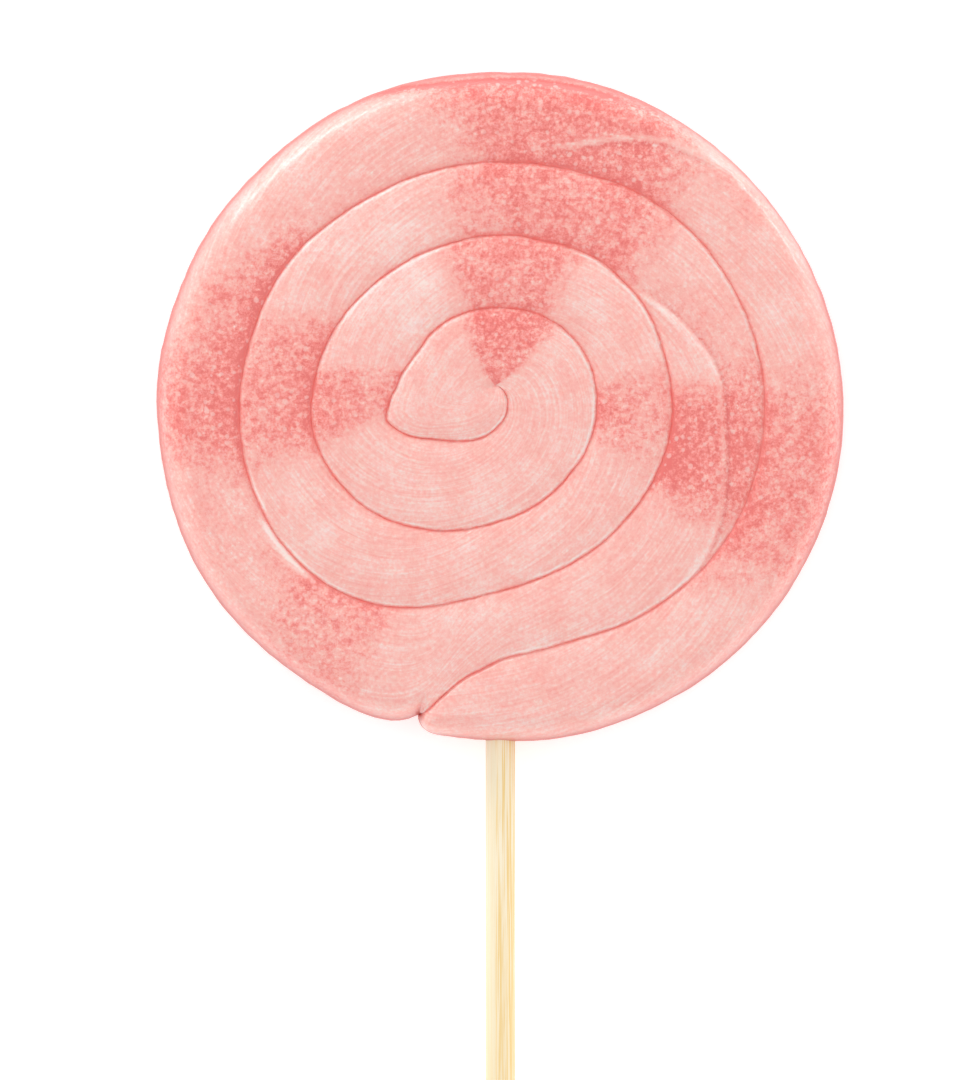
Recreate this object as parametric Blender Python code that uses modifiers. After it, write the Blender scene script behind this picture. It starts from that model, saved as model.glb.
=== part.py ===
"""Pulled-sugar lollipop: one thick rope of sugar coiled from the rim to the middle, fused and pressed
into a flat disc, on a round bamboo stick.

Metres, +Z up. The lollipop lies on its back on the plane z = 0, with its front up and its stick along
-Y. The origin is on the back, under the middle of the disc.

The seam between the turns of the rope is one spiral. It starts as the disc's own outline, at the tip of
the rope's outer end, and goes round counterclockwise to the middle. A turning angle in degrees places a
point on it: 0 is +X, 90 is +Y, and the count goes on past 360. The rope at an angle t lies between the
seam at t and the seam one turn further in.
"""

import math
from collections import namedtuple

import bmesh
import bpy
from mathutils import Vector

MM = 0.001

# Thickness of the disc, and the round of its rim as seen from the front
THICKNESS = 11.0 * MM
RIM_ROUND = 4.2 * MM

# One round of the seam: mean radius, shift towards +X, and how much wider than high it is
Round = namedtuple("Round", "radius shift oval")
ROUNDS = (
    Round(45.6 * MM, -0.1 * MM, 0.5 * MM),
    Round(34.4 * MM, 0.2 * MM, 1.1 * MM),
    Round(23.8 * MM, -0.9 * MM, 0.7 * MM),
    Round(13.5 * MM, -0.6 * MM, 0.2 * MM),
)

# Where the seam steps from one round in to the next: turning angle, and half the angle it takes
Step = namedtuple("Step", "angle half_length")
STEPS = (Step(259.3, 6.5), Step(609.0, 26.0), Step(964.0, 38.0))

# The last stretch of the seam winds in to the end of the rope, a little above the disc's middle
OUTER_END = -105.0
OUTER_TIP_ROUND = 5.0
FULL_TURN = 360.0
WIND_IN_START = 1278.0
WIND_IN_POWER = 1.4
PIVOT = Vector((-0.7 * MM, 3.0 * MM))
PIVOT_DRIFT_START = 1190.0

# Crease between the turns, on the front and on the back
FRONT_CREASE = 1.3 * MM
BACK_CREASE = 0.8 * MM
CREASE_ROUND = 1.6 * MM
WIDEST_ROUND_SHARE = 0.45
FULL_HEIGHT_WIDTH = 3.6 * MM
PIVOT_ROUND = 0.9 * MM
CREASE_SETTLE = 24.0
FRONT_CROWN = 0.3 * MM
SHALLOW_END = 0.25
CREASE_FADE_START = 1190.0
CREASE_FADE_END = 1300.0

# Fold pressed into the second round on the right: it crosses the rope in two stretches
FOLD_START = 314.0
FOLD_FULL_FROM = 330.0
FOLD_FULL_TO = 385.0
FOLD_END = 412.0
FOLD_DEPTH = 0.8 * MM
FoldCrossing = namedtuple("FoldCrossing", "share start end")
FOLD_CROSSINGS = (FoldCrossing(0.36, 318.0, 356.0), FoldCrossing(0.64, 364.0, 404.0))

# Stick, and the hole that the sugar leaves round it
STICK_DIAMETER = 4.0 * MM
STICK_LENGTH = 150.0 * MM
STICK_INSIDE = 40.0 * MM
STICK_EDGE = 0.35 * MM
FIT_GAP = 0.3 * MM

# Fineness of the solids: the columns of faces along the rope crowd together at its outer tip
COLUMNS_PER_TURN = 66
COLUMN_CROWDING = 0.6
SEAM_COLUMNS = 288
ROPE_COLUMNS = SEAM_COLUMNS - 1
OUTER_ROUND_STEPS = 4
CROWN_STEPS = 2
INNER_ROUND_STEPS = 3
ROWS = OUTER_ROUND_STEPS + CROWN_STEPS + INNER_ROUND_STEPS
STICK_SIDES = 24
WELD_DISTANCE = 0.001 * MM

FRONT = 1.0
BACK = -1.0


def column_angle(column):
    """Turning angle of a column of faces. It is the same place in every turn, so that turns can weld."""
    turns = column / COLUMNS_PER_TURN
    crowding = COLUMN_CROWDING * math.sin(2.0 * math.pi * turns) / (2.0 * math.pi)
    return OUTER_END + FULL_TURN * (turns - crowding)


INNER_END = column_angle(SEAM_COLUMNS)


def clear_scene():
    for old in list(bpy.data.objects):
        bpy.data.objects.remove(old, do_unlink=True)


def srgb_to_linear(hex_colour):
    channels = [int(hex_colour[i:i + 2], 16) / 255 for i in (1, 3, 5)]
    linear = [c / 12.92 if c <= 0.04045 else ((c + 0.055) / 1.055) ** 2.4 for c in channels]
    return (*linear, 1.0)


def make_material(name, hex_colour, roughness):
    material = bpy.data.materials.new(name)
    material.use_nodes = True
    shader = material.node_tree.nodes["Principled BSDF"]
    shader.inputs["Base Color"].default_value = srgb_to_linear(hex_colour)
    shader.inputs["Roughness"].default_value = roughness
    shader.inputs["Metallic"].default_value = 0.0
    return material


def ease(value, start, end):
    """Goes smoothly from 0 at start to 1 at end."""
    share = min(max((value - start) / (end - start), 0.0), 1.0)
    return share * share * (3.0 - 2.0 * share)


def round_radius(ring, angle):
    turn = math.radians(angle)
    return ring.radius + ring.shift * math.cos(turn) + ring.oval * math.cos(2.0 * turn)


def seam_radius(angle):
    radius = round_radius(ROUNDS[0], angle)
    for step, ring in zip(STEPS, ROUNDS[1:]):
        stepped = 0.5 + 0.5 * math.tanh((angle - step.angle) / step.half_length)
        radius += stepped * (round_radius(ring, angle) - radius)
    if angle > WIND_IN_START:
        left = (INNER_END - angle) / (INNER_END - WIND_IN_START)
        radius *= max(left, 0.0) ** WIND_IN_POWER
    return radius


def seam_point(angle):
    """Place of the seam in plan. The rope's outer tip lies on the seam one turn further in."""
    radius = seam_radius(angle)
    if angle < OUTER_END + OUTER_TIP_ROUND:
        past_tip = 1.0 - max(angle - OUTER_END, 0.0) / OUTER_TIP_ROUND
        notch_radius = seam_radius(OUTER_END + FULL_TURN)
        radius = notch_radius + (radius - notch_radius) * math.sqrt(1.0 - past_tip ** 2)
    turn = math.radians(angle)
    centre = PIVOT * ease(angle, PIVOT_DRIFT_START, WIND_IN_START)
    return centre + radius * Vector((math.cos(turn), math.sin(turn)))


def on_rim(angle):
    """1 along the disc's outline, going to 0 once the seam has turned inside it."""
    notch = OUTER_END + FULL_TURN
    return 1.0 - ease(angle, notch, notch + CREASE_SETTLE)


def seam_height(angle, side):
    """Height of the seam over the middle plane: none on the rim, and near the face in a crease."""
    if side == FRONT:
        depth = FRONT_CREASE
        depth *= 1.0 - (1.0 - SHALLOW_END) * ease(angle, CREASE_FADE_END, INNER_END)
        crease = THICKNESS / 2 - FRONT_CROWN - depth
    else:
        depth = BACK_CREASE * (1.0 - ease(angle, CREASE_FADE_START, CREASE_FADE_END))
        crease = THICKNESS / 2 - depth
    return crease * (1.0 - on_rim(angle))


def round_width(angle):
    """Width, seen from the front, over which the rope rounds down into the seam."""
    crease = CREASE_ROUND + (PIVOT_ROUND - CREASE_ROUND) * ease(angle, CREASE_FADE_END, INNER_END)
    return crease + on_rim(angle) * (RIM_ROUND - crease)


def fold_place(angle):
    """Place of the fold across the rope: 0 at its outer round, 1 at its inner one."""
    return sum(crossing.share * ease(angle, crossing.start, crossing.end) for crossing in FOLD_CROSSINGS)


def fold_strength(angle):
    return ease(angle, FOLD_START, FOLD_FULL_FROM) * (1.0 - ease(angle, FOLD_FULL_TO, FOLD_END))


def section_row(row, angle, width, side):
    """Distance of one row of the section from the outer seam, and its height over the middle plane."""
    outer_height = seam_height(angle, side)
    inner_height = seam_height(angle + FULL_TURN, side)
    outer_round = min(round_width(angle), WIDEST_ROUND_SHARE * width)
    inner_round = min(round_width(angle + FULL_TURN), WIDEST_ROUND_SHARE * width)
    crown = FRONT_CROWN if side == FRONT else 0.0
    face = THICKNESS / 2 - crown
    fullness = ease(width, 0.0, FULL_HEIGHT_WIDTH)

    if row <= OUTER_ROUND_STEPS:
        bend = math.pi / 2 * row / OUTER_ROUND_STEPS
        across = outer_round * (1.0 - math.cos(bend))
        height = outer_height + (face - outer_height) * fullness * math.sin(bend)
    elif row >= ROWS - INNER_ROUND_STEPS:
        bend = math.pi / 2 * (ROWS - row) / INNER_ROUND_STEPS
        across = width - inner_round * (1.0 - math.cos(bend))
        height = inner_height + (face - inner_height) * fullness * math.sin(bend)
    else:
        share = (row - OUTER_ROUND_STEPS) / CROWN_STEPS
        folded = fold_strength(angle) if side == FRONT else 0.0
        share += folded * (fold_place(angle) - share)
        across = outer_round + share * (width - outer_round - inner_round)
        rise = crown * (1.0 - (2.0 * share - 1.0) ** 2) - FOLD_DEPTH * folded
        low = outer_height + (inner_height - outer_height) * share
        height = low + (face + rise - low) * fullness
    return across, height


def section_point(column, row, side):
    """Point of one row of the rope's section: round at both seams, nearly flat between them."""
    angle = column_angle(column)
    outer = seam_point(angle)
    inner = seam_point(min(angle + FULL_TURN, INNER_END))
    width = (inner - outer).length
    across, height = section_row(row, angle, width, side)
    if column == ROPE_COLUMNS and row < ROWS:
        # the rope ends in one edge, so that the last column closes on its outer seam
        across, height = 0.0, seam_height(angle, side)
    plan = outer.lerp(inner, across / width) if width > 0.0 else outer
    return Vector((plan.x, plan.y, THICKNESS / 2 + side * height))


def wind_sheet(shape, side):
    """Winds a flat grid into one face of the coil: its columns follow the rope, its rows cross it."""
    grid = bmesh.ops.create_grid(shape, x_segments=ROPE_COLUMNS, y_segments=ROWS, size=1.0)
    for vertex in grid["verts"]:
        column = round((vertex.co.x + 1.0) / 2.0 * ROPE_COLUMNS)
        row = round((vertex.co.y + 1.0) / 2.0 * ROWS)
        vertex.co = section_point(column, row, side)


def make_candy(collection):
    shape = bmesh.new()
    wind_sheet(shape, FRONT)
    wind_sheet(shape, BACK)
    bmesh.ops.remove_doubles(shape, verts=shape.verts, dist=WELD_DISTANCE)
    bmesh.ops.recalc_face_normals(shape, faces=shape.faces)
    mesh = bpy.data.meshes.new("candy")
    shape.to_mesh(mesh)
    shape.free()
    mesh.shade_smooth()
    mesh.materials.append(make_material("pulled_sugar", "#F7B5AB", 0.35))
    candy = bpy.data.objects.new("candy", mesh)
    collection.objects.link(candy)
    return candy


def add_rod(name, radius, inner_y, outer_y, sides, collection):
    """A rod along Y at half the disc's thickness."""
    bpy.ops.mesh.primitive_cylinder_add(vertices=sides, radius=radius, depth=inner_y - outer_y)
    rod = bpy.context.object
    rod.name = name
    rod.data.name = name
    rod.location = (0.0, (inner_y + outer_y) / 2, THICKNESS / 2)
    rod.rotation_euler = (math.pi / 2, 0.0, 0.0)
    for home in list(rod.users_collection):
        home.objects.unlink(rod)
    collection.objects.link(rod)
    return rod


def make_stick(collection):
    rim_y = seam_point(-90.0).y
    inner_y = rim_y + STICK_INSIDE
    outer_y = inner_y - STICK_LENGTH
    stick = add_rod("stick", STICK_DIAMETER / 2, inner_y, outer_y, STICK_SIDES, collection)
    edge = stick.modifiers.new("eased_ends", "BEVEL")
    edge.width = STICK_EDGE
    edge.segments = 2
    edge.limit_method = "ANGLE"
    edge.angle_limit = math.radians(60.0)
    stick.data.shade_smooth()
    stick.data.set_sharp_from_angle(angle=math.radians(40.0))
    stick.data.materials.append(make_material("bamboo", "#F6DFB2", 0.6))
    return stick


def cut_stick_hole(candy, cutters):
    rim_y = seam_point(-90.0).y
    inner_y = rim_y + STICK_INSIDE + FIT_GAP
    outer_y = rim_y - RIM_ROUND
    cutter = add_rod("stick_hole", STICK_DIAMETER / 2 + FIT_GAP, inner_y, outer_y, STICK_SIDES, cutters)
    cutter.hide_render = True
    cutter.display_type = "WIRE"
    hole = candy.modifiers.new("stick_hole", "BOOLEAN")
    hole.operation = "DIFFERENCE"
    hole.solver = "EXACT"
    hole.object = cutter
    return cutter


def main():
    clear_scene()
    lollipop = bpy.data.collections.new("lollipop")
    cutters = bpy.data.collections.new("cutters")
    bpy.context.scene.collection.children.link(lollipop)
    bpy.context.scene.collection.children.link(cutters)

    origin = bpy.data.objects.new("lollipop_origin", None)
    lollipop.objects.link(origin)
    candy = make_candy(lollipop)
    stick = make_stick(lollipop)
    cutter = cut_stick_hole(candy, cutters)
    for piece in (candy, stick, cutter):
        piece.parent = origin


main()
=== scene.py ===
# %% [markdown]
# # A spiral lollipop, dressed over its solids
#
# The real thing is a rope of pulled sugar, coiled while warm and pressed into a disc on a bamboo stick.
# The solids already give its size and place. This script loads them as a fixed frame and makes the
# surface that the eye sees over them. It stays in the frame's own metres, so nothing is fitted later.

# %% Load the frame
import math
from bisect import bisect_right
from collections import namedtuple
from functools import partial
from types import SimpleNamespace

import bmesh
import bpy
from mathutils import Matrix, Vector, noise


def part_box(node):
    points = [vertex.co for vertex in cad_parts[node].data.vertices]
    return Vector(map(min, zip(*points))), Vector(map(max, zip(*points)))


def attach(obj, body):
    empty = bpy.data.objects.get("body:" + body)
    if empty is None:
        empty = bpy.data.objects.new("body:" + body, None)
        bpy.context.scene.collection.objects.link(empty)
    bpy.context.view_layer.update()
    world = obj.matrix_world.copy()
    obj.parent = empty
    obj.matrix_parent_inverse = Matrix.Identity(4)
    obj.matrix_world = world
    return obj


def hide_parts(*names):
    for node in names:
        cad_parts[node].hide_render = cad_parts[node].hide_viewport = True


MM = 0.001
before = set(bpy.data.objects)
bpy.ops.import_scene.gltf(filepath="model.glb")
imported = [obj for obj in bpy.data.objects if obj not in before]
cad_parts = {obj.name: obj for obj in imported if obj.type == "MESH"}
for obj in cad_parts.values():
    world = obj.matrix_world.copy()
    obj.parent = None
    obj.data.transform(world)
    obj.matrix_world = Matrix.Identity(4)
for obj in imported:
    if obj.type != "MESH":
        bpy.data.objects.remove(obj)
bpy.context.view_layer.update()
CANDY_LOW, CANDY_HIGH = (Vector(corner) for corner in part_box("candy"))
STICK_LOW, STICK_HIGH = (Vector(corner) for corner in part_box("stick"))
THICKNESS = CANDY_HIGH.z - CANDY_LOW.z
MIDDLE = (CANDY_HIGH.z + CANDY_LOW.z) / 2
print("solids in the frame:", ", ".join(sorted(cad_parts)))
print("candy box in mm:", [round(side / MM, 1) for side in CANDY_HIGH - CANDY_LOW])
print("stick box in mm:", [round(side / MM, 1) for side in STICK_HIGH - STICK_LOW])

# %% [markdown]
# ## The rule of the coil
#
# Where two turns of the rope meet there is a seam, and all seams together are one spiral. It could be
# drawn by hand as a curve, but a rule is easier to change: four rounds of nearly constant radius, with
# a quick step in from each to the next, as a rope has that is wound on to itself. A turning angle in
# degrees, which goes on past 360, names a place on the spiral. The rope at an angle lies between the
# seam there and the seam one turn further in.

# %% The seam's sizes
FULL_TURN = 360.0
Round = namedtuple("Round", "radius shift oval")
ROUNDS = (
    Round(45.6 * MM, -0.1 * MM, 0.5 * MM),
    Round(34.4 * MM, 0.2 * MM, 1.1 * MM),
    Round(23.8 * MM, -0.9 * MM, 0.7 * MM),
    Round(13.5 * MM, -0.6 * MM, 0.2 * MM),
)
Step = namedtuple("Step", "angle half_length")
STEPS = (Step(259.0, 5.4), Step(609.0, 26.0), Step(964.0, 38.0))

# How far the hand-made coil strays outwards from that rule, in mm, at measured turning angles
STRAYS = (
    (-125, -0.1), (-105, -0.1), (-95, -0.2), (-80, 0.2), (-60, 0.25), (-42, 0.35), (-15, 0.2), (5, 0.05),
    (20, -0.15), (38, -0.25), (55, -0.15), (73, 0.05), (92, -0.2), (115, 0.05), (135, -0.25), (148, -0.1),
    (160, -0.2), (175, 0.05), (187, -0.12), (210, 0.22), (234, -0.2), (247, 0.05), (255, -0.1),
    (258, -0.4), (260, 0.0), (262, 0.5), (265, 0.95), (268, 0.6), (271, 0.05), (278, -0.45), (285, -0.85),
    (292, -0.9), (300, -0.6), (310, -0.45), (320, -0.35), (335, -0.2), (350, -0.4), (370, -0.35),
    (390, -0.2), (405, 0.1), (420, 0.0), (431, -0.4), (446, -0.45), (460, -0.42), (480, -0.63),
    (491, -0.6), (501, -0.3), (511, -0.28), (525, -0.5), (546, -0.2), (560, 0.0), (581, 0.28), (600, 0.15),
    (615, -0.2), (624, -0.3), (640, -0.3), (655, -0.45), (668, -0.6), (676, -0.84), (690, -0.85),
    (705, -0.75), (716, -0.63), (731, -0.56), (741, -0.4), (746, -0.1), (756, 0.28), (766, 0.42),
    (776, 0.68), (786, 0.49), (796, 0.1), (806, 0.1), (816, -0.14), (826, -0.42), (840, -0.65),
    (855, -0.75), (866, -0.56), (876, -0.35), (891, 0.0), (906, 0.42), (916, 0.2), (930, -0.2),
    (941, -0.4), (954, -0.55), (966, -0.4), (980, -0.25), (1006, -0.1), (1020, -0.25), (1037, -0.49),
    (1049, -0.42), (1071, -0.35), (1090, -0.1), (1106, 0.21), (1121, 0.45), (1140, 0.4), (1156, 0.3),
    (1171, 0.15), (1186, 0.1), (1196, 0.0), (1206, -0.4), (1216, -0.85), (1225, -1.5), (1236, -1.76),
    (1247, -1.5), (1259, -0.95), (1267, -0.1), (1276, 0.9), (1284, 1.0), (1291, 0.6), (1300, -0.3),
    (1317, -0.5), (1345, 0.0), (1440, 0.0), (1460, 0.0),
)
STRAY_ANGLES = [angle for angle, _ in STRAYS]

# The outer end of the rope is a blunt tip, and its inner end winds in to a pivot
OUTER_END = -105.0
TIP_ROUND = 5.0
WIND_IN_START = 1278.0
WIND_IN_POWER = 1.4
PIVOT = Vector((-0.7 * MM, 3.0 * MM))
PIVOT_DRIFT_START = 1190.0

# Columns of faces along the rope. The first ones of each turn crowd into the blunt tip.
COLUMNS_PER_TURN = 264
TIP_COLUMNS = 12
WHOLE_TURNS = 4
LAST_COLUMNS = 83
SEAM_COLUMNS = WHOLE_TURNS * COLUMNS_PER_TURN + LAST_COLUMNS
ROPE_COLUMNS = SEAM_COLUMNS - 1


def column_angle(column):
    """Turning angle of a column of faces, the same place in every turn, so that the turns can weld."""
    turns, place = divmod(column, COLUMNS_PER_TURN)
    if place < TIP_COLUMNS:
        past_end = TIP_ROUND * (1.0 - math.cos(math.pi / 2 * place / TIP_COLUMNS))
    else:
        share = (place - TIP_COLUMNS) / (COLUMNS_PER_TURN - TIP_COLUMNS)
        past_end = TIP_ROUND + (FULL_TURN - TIP_ROUND) * share
    return OUTER_END + FULL_TURN * turns + past_end


INNER_END = column_angle(SEAM_COLUMNS)
print("the rope turns", round((INNER_END - OUTER_END) / FULL_TURN, 2), "times")


# %% The seam's place
def ease(value, start, end):
    """Goes smoothly from 0 at start to 1 at end."""
    share = min(max((value - start) / (end - start), 0.0), 1.0)
    return share * share * (3.0 - 2.0 * share)


def stray(angle):
    """Smooth curve through the measured strays."""
    place = min(max(bisect_right(STRAY_ANGLES, angle), 2), len(STRAYS) - 2)
    (_, before), (start, low), (end, high), (_, after) = STRAYS[place - 2:place + 2]
    reach = end - start
    rise_low = (high - before) * reach / (end - STRAY_ANGLES[place - 2])
    rise_high = (after - low) * reach / (STRAY_ANGLES[place + 1] - start)
    x = (angle - start) / reach
    bent = rise_low * x * (1 - x) ** 2 - rise_high * x * x * (1 - x)
    return (low + (high - low) * x * x * (3 - 2 * x) + bent) * MM


def round_radius(ring, angle):
    turn = math.radians(angle)
    return ring.radius + ring.shift * math.cos(turn) + ring.oval * math.cos(2.0 * turn)


def seam_radius(angle):
    radius = round_radius(ROUNDS[0], angle)
    for step, ring in zip(STEPS, ROUNDS[1:]):
        stepped = 0.5 + 0.5 * math.tanh((angle - step.angle) / step.half_length)
        radius += stepped * (round_radius(ring, angle) - radius)
    if angle > WIND_IN_START:
        left = (INNER_END - angle) / (INNER_END - WIND_IN_START)
        radius *= max(left, 0.0) ** WIND_IN_POWER
    return radius + stray(angle)


def seam_point(angle):
    """Place of the seam in plan. The rope's outer tip lies on the seam one turn further in."""
    radius = seam_radius(angle)
    if angle < OUTER_END + TIP_ROUND:
        past_tip = 1.0 - max(angle - OUTER_END, 0.0) / TIP_ROUND
        notch_radius = seam_radius(OUTER_END + FULL_TURN)
        radius = notch_radius + (radius - notch_radius) * math.sqrt(1.0 - past_tip ** 2)
    turn = math.radians(angle)
    centre = PIVOT * ease(angle, PIVOT_DRIFT_START, WIND_IN_START)
    return centre + radius * Vector((math.cos(turn), math.sin(turn)))


print("widest radius in mm:", round(max(seam_radius(angle) for angle in range(-100, 250)) / MM, 1))

# %% [markdown]
# ## The rope's section along its way
#
# Seen across, the rope is nearly flat on top and rounds down into a seam on each side: deeply on the
# disc's rim, and into a narrow crease between two turns. Pressing has also left a fold in the second
# round on the right, a lap in the outer round at the top right, where the sugar doubled over, and a thin
# lip along the top of the rim. A pale line beside the crease at the lower left is a painted highlight.
# What changes along the way is worked out once for each column and kept as attributes on a guide line.

# %% The section's sizes
CROWN = 0.3 * MM
FACE = THICKNESS / 2 - CROWN
RIM_ROUND = 4.2 * MM
SHARP_RIM = (12.0, 30.0, 56.0, 74.0)
SHARP_RIM_ROUND = 2.4 * MM
CREASE_ROUND = 0.7 * MM
PIVOT_ROUND = 0.8 * MM
WIDEST_ROUND_SHARE = 0.45
SMALLEST_ROUND = 0.001 * MM
FULL_HEIGHT_WIDTH = 3.6 * MM
FRONT_CREASE = 0.36 * MM
BACK_CREASE = 0.55 * MM
CREASE_SETTLE = 1.2
SHALLOW_END = 0.4
CREASE_FADE_START = 1190.0
CREASE_FADE_END = 1300.0
print("face over the middle plane in mm:", round(FACE / MM, 2))

# %% Fold, lap, lip and a painted glint
# Where each runs across the rope: a first place, and shares of the width crossed between two angles
Crossing = namedtuple("Crossing", "share start end")
Press = namedtuple("Press", "begin full_from full_to finish first_place crossings")
FOLD = Press(306.0, 330.0, 385.0, 412.0, 0.0, (Crossing(0.43, 314.0, 362.0), Crossing(0.57, 362.0, 412.0)))
LAP = Press(26.0, 42.0, 71.0, 84.0, 0.06, (Crossing(0.22, 38.0, 56.0), Crossing(0.57, 52.0, 82.0)))
LIP = Press(62.0, 78.0, 107.0, 117.0, 0.1, (Crossing(-0.07, 97.0, 113.0),))
# A painted highlight along the crease at the lower left, with no groove or step of its own
PAINTED_GLINT = Press(203.0, 208.0, 219.0, 224.0, 0.967, ())
print("fold's turning angles:", FOLD.begin, "to", FOLD.finish)


# %% Heights and widths of the section at a turning angle
def on_rim(angle):
    """1 along the disc's outline, going to 0 once the seam has turned inside it."""
    notch = OUTER_END + FULL_TURN
    return 1.0 - ease(angle, notch, notch + CREASE_SETTLE)


def front_height(angle):
    """Height of the seam over the middle plane, on the front."""
    depth = FRONT_CREASE * (1.0 - (1.0 - SHALLOW_END) * ease(angle, CREASE_FADE_END, INNER_END))
    return (FACE - depth) * (1.0 - on_rim(angle))


def back_height(angle):
    depth = BACK_CREASE * (1.0 - ease(angle, CREASE_FADE_START, CREASE_FADE_END))
    return (THICKNESS / 2 - depth) * (1.0 - on_rim(angle))


def round_width(angle):
    """Width, seen from the front, over which the rope rounds down into the seam."""
    crease = CREASE_ROUND + (PIVOT_ROUND - CREASE_ROUND) * ease(angle, CREASE_FADE_END, INNER_END)
    begin, full_from, full_to, finish = SHARP_RIM
    sharp = ease(angle, begin, full_from) * (1.0 - ease(angle, full_to, finish))
    rim = RIM_ROUND + (SHARP_RIM_ROUND - RIM_ROUND) * sharp
    return crease + on_rim(angle) * (rim - crease)


def press_place(press, angle):
    """Place of a fold across the rope: 0 at the outer seam, 1 at the inner one."""
    crossed = sum(crossing.share * ease(angle, crossing.start, crossing.end) for crossing in press.crossings)
    return press.first_place + crossed


def press_strength(press, angle):
    fade_in = ease(angle, press.begin, press.full_from)
    return fade_in * (1.0 - ease(angle, press.full_to, press.finish))


# %% [markdown]
# Satin looks light or dark by how its fibres lie to the light, and this sheen and shade is painted into the
# sugar's colour as light and dark sectors. They follow the rope, so their darkness too is worked out by
# turning angle, at three places across.

# %% The satin's painted sheen and shade
# Turning angles between which each painted sector runs at the rope's outer and inner side, how softly it
# begins and ends, and its darkness at both sides. Below 0 it is a painted sheen, paler than the rest.
SheenZone = namedtuple("SheenZone", "outer inner soft dark")
PAINTED_SHEEN_ZONES = (
    SheenZone((-28, 5), (-36, 2), (12, 13), (0.6, 0.85)),
    SheenZone((57, 101), (51, 95), (7, 11), (0.8, 0.85)),
    SheenZone((112, 160), (112, 135), (10, 8), (-0.1, 0.1)),
    SheenZone((165, 190), (139, 192), (8, 9), (0.1, 1.05)),
    SheenZone((172, 188), (168, 188), (5, 8), (0.45, 0.1)),
    SheenZone((196, 214), (196, 214), (6, 6), (0.1, 0.15)),
    SheenZone((224, 244), (216, 240), (7, 6), (0.3, 0.65)),
    SheenZone((333, 368), (333, 362), (8, 8), (0.78, 1.35)),
    SheenZone((366, 385), (362, 404), (6, 10), (0.08, 0.0)),
    SheenZone((410, 456), (406, 442), (8, 9), (0.8, 0.75)),
    SheenZone((447, 466), (442, 464), (5, 6), (0.3, 0.4)),
    SheenZone((480, 505), (474, 500), (8, 8), (-0.12, -0.15)),
    SheenZone((521, 552), (515, 551), (9, 7), (0.55, 0.9)),
    SheenZone((698, 735), (704, 732), (8, 6), (0.35, 0.7)),
    SheenZone((784, 829), (785, 826), (8, 6), (0.7, 0.7)),
    SheenZone((838, 868), (836, 862), (6, 10), (-0.25, -0.3)),
    SheenZone((888, 911), (888, 912), (4, 5), (0.8, 0.5)),
    SheenZone((1139, 1188), (1125, 1205), (6, 9), (1.05, 0.8)),
)


def painted_sheen_darkness(angle, share):
    """Sum of the painted sheen and shade sectors at a turning angle and a share of the way across the rope.
    """
    darkness = 0.0
    for zone in PAINTED_SHEEN_ZONES:
        start, end = (outer + (inner - outer) * share for outer, inner in zip(zone.outer, zone.inner))
        entered = ease(angle, start - zone.soft[0], start + zone.soft[0])
        left = ease(angle, end - zone.soft[1], end + zone.soft[1])
        darkness += entered * (1.0 - left) * (zone.dark[0] + (zone.dark[1] - zone.dark[0]) * share)
    return darkness


print("dark and pale sectors:", len(PAINTED_SHEEN_ZONES))


# %% The guide line
def guide_columns():
    """For each column, the seam's place and what the section needs to know there."""
    along = 0.0
    middle_before = None
    for column in range(SEAM_COLUMNS + 1):
        angle = column_angle(column)
        next_angle = angle + FULL_TURN
        outer = seam_point(angle).to_3d()
        inner = seam_point(min(next_angle, INNER_END)).to_3d()
        width = (inner - outer).length
        middle = (outer + inner) / 2
        along += (middle - middle_before).length if middle_before else 0.0
        middle_before = middle
        widest = WIDEST_ROUND_SHARE * width
        outer_round = max(min(round_width(angle), widest), SMALLEST_ROUND)
        inner_round = max(min(round_width(next_angle), widest), SMALLEST_ROUND)
        yield outer, {
            "inner_seam": inner,
            "rounds": (outer_round, inner_round, ease(width, 0.0, FULL_HEIGHT_WIDTH)),
            "front_seams": (front_height(angle), front_height(next_angle), 0.0),
            "back_seams": (back_height(angle), back_height(next_angle), 0.0),
            "creased": (1.0 - on_rim(angle), 1.0 - on_rim(next_angle), 0.0),
            "fold": (press_place(FOLD, angle), press_strength(FOLD, angle), 0.0),
            "lap": (press_place(LAP, angle), press_strength(LAP, angle), 0.0),
            "lip": (press_place(LIP, angle), press_strength(LIP, angle), 0.0),
            "burr": (press_place(PAINTED_GLINT, angle), press_strength(PAINTED_GLINT, angle), 0.0),
            "way": (angle / FULL_TURN, along, 0.0),
            # The satin's painted sheen and shade at the outer side, the middle and the inner side
            "satin": tuple(painted_sheen_darkness(angle, share) for share in (0.0, 0.5, 1.0)),
        }


def make_guide():
    points, values = zip(*guide_columns())
    mesh = bpy.data.meshes.new("candy_coil")
    mesh.from_pydata(points, [(i, i + 1) for i in range(SEAM_COLUMNS)], [])
    for name in GUIDE_VALUES:
        attribute = mesh.attributes.new(name, "FLOAT_VECTOR", "POINT")
        attribute.data.foreach_set("vector", [part for value in values for part in value[name]])
    guide = bpy.data.objects.new("candy_coil", mesh)
    bpy.context.scene.collection.objects.link(guide)
    return guide


GUIDE_VALUES = tuple(next(guide_columns())[1])
candy = make_guide()
print("guide points:", len(candy.data.vertices), "with", ", ".join(GUIDE_VALUES))

# %% [markdown]
# ## Sweeping the section with Geometry Nodes
#
# Each face of the coil is a flat grid wound along the guide: its columns follow the rope and its rows
# cross it. The rows crowd towards both seams, by a cosine, because the creases need the finest faces.
# A Curve to Mesh node could sweep a fixed section, but here the section changes all the way, so a Set
# Position node works out every point from the guide's attributes.


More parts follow.
